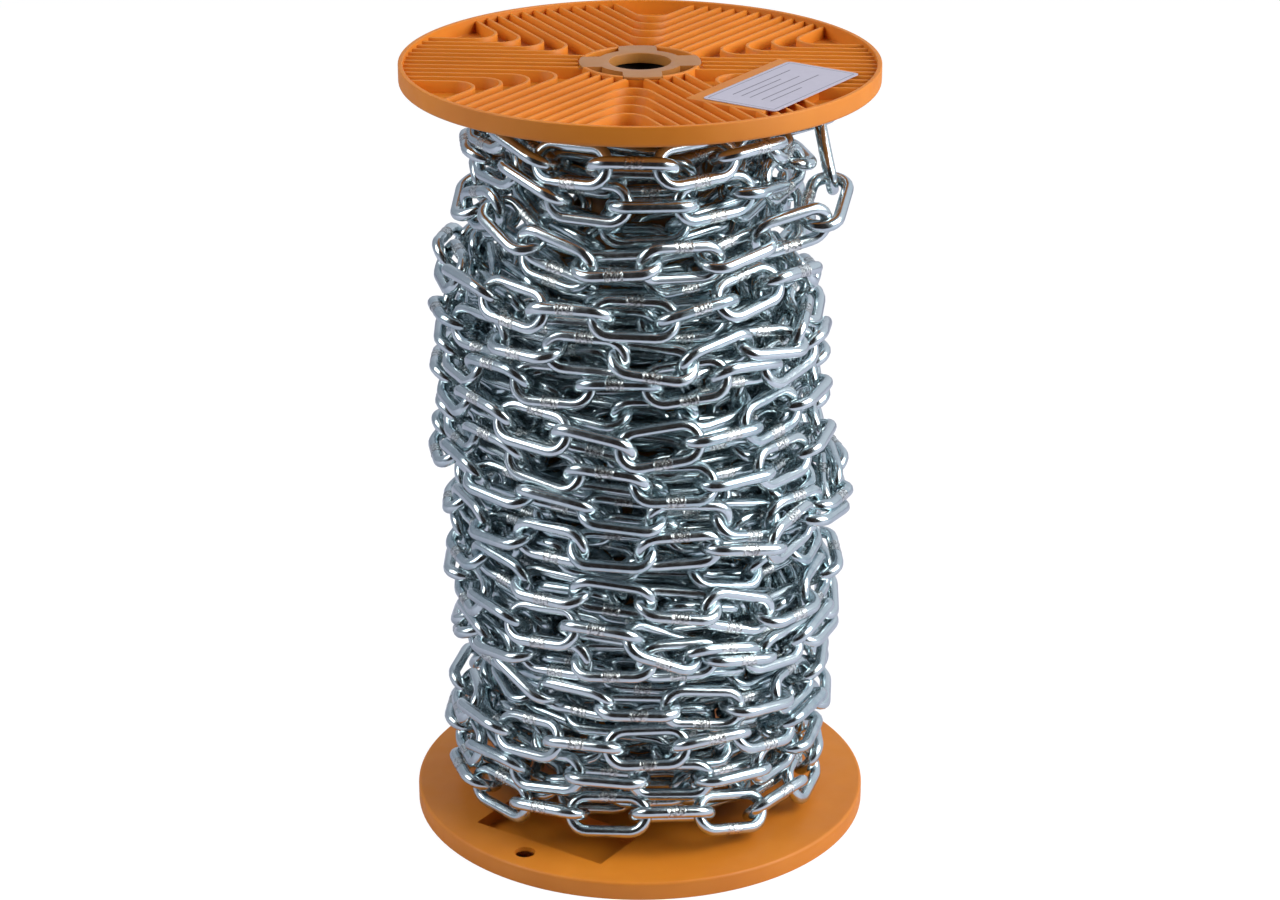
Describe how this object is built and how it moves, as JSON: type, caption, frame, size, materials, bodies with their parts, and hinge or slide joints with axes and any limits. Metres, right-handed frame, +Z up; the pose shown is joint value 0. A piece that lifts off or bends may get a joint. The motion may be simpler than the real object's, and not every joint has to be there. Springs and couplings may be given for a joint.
{
  "type": "chain reel",
  "caption": "Plastic spool with ribbed round flanges, standing on end and wound full with rows of welded steel link chain; a slack loop hangs outside the upper rows.",
  "frame": {"origin": "on the reel's axis, in the plane of the lower flange's rim that it stands on", "axes": "+Z up along the reel's axis, -Y toward the side the picture shows"},
  "size_m": [0.1998, 0.1998, 0.3406],
  "materials": {
    "orange_plastic": "moulded orange plastic, satin",
    "ochre_plastic": "moulded ochre plastic, glossy ends",
    "label_paper": "pale blank sticker",
    "zinc_steel": "bright zinc plated steel wire"
  },
  "bodies": {
    "root": {"flange_top": "orange_plastic", "flange_bottom": "orange_plastic", "barrel": "ochre_plastic", "label": "label_paper", "chain_inner_layers": "zinc_steel", "chain_turn_01": "zinc_steel", "chain_turn_02": "zinc_steel", "chain_turn_03": "zinc_steel", "chain_turn_04": "zinc_steel", "chain_turn_05": "zinc_steel", "chain_turn_06": "zinc_steel", "chain_turn_07": "zinc_steel", "chain_turn_08": "zinc_steel", "chain_turn_09": "zinc_steel", "chain_turn_10": "zinc_steel", "chain_turn_11": "zinc_steel", "chain_turn_12": "zinc_steel", "chain_turn_13": "zinc_steel", "chain_turn_14": "zinc_steel", "chain_turn_15": "zinc_steel", "chain_turn_16": "zinc_steel", "chain_turn_17": "zinc_steel", "chain_loose_loop": "zinc_steel"}
  },
  "joints": []
}
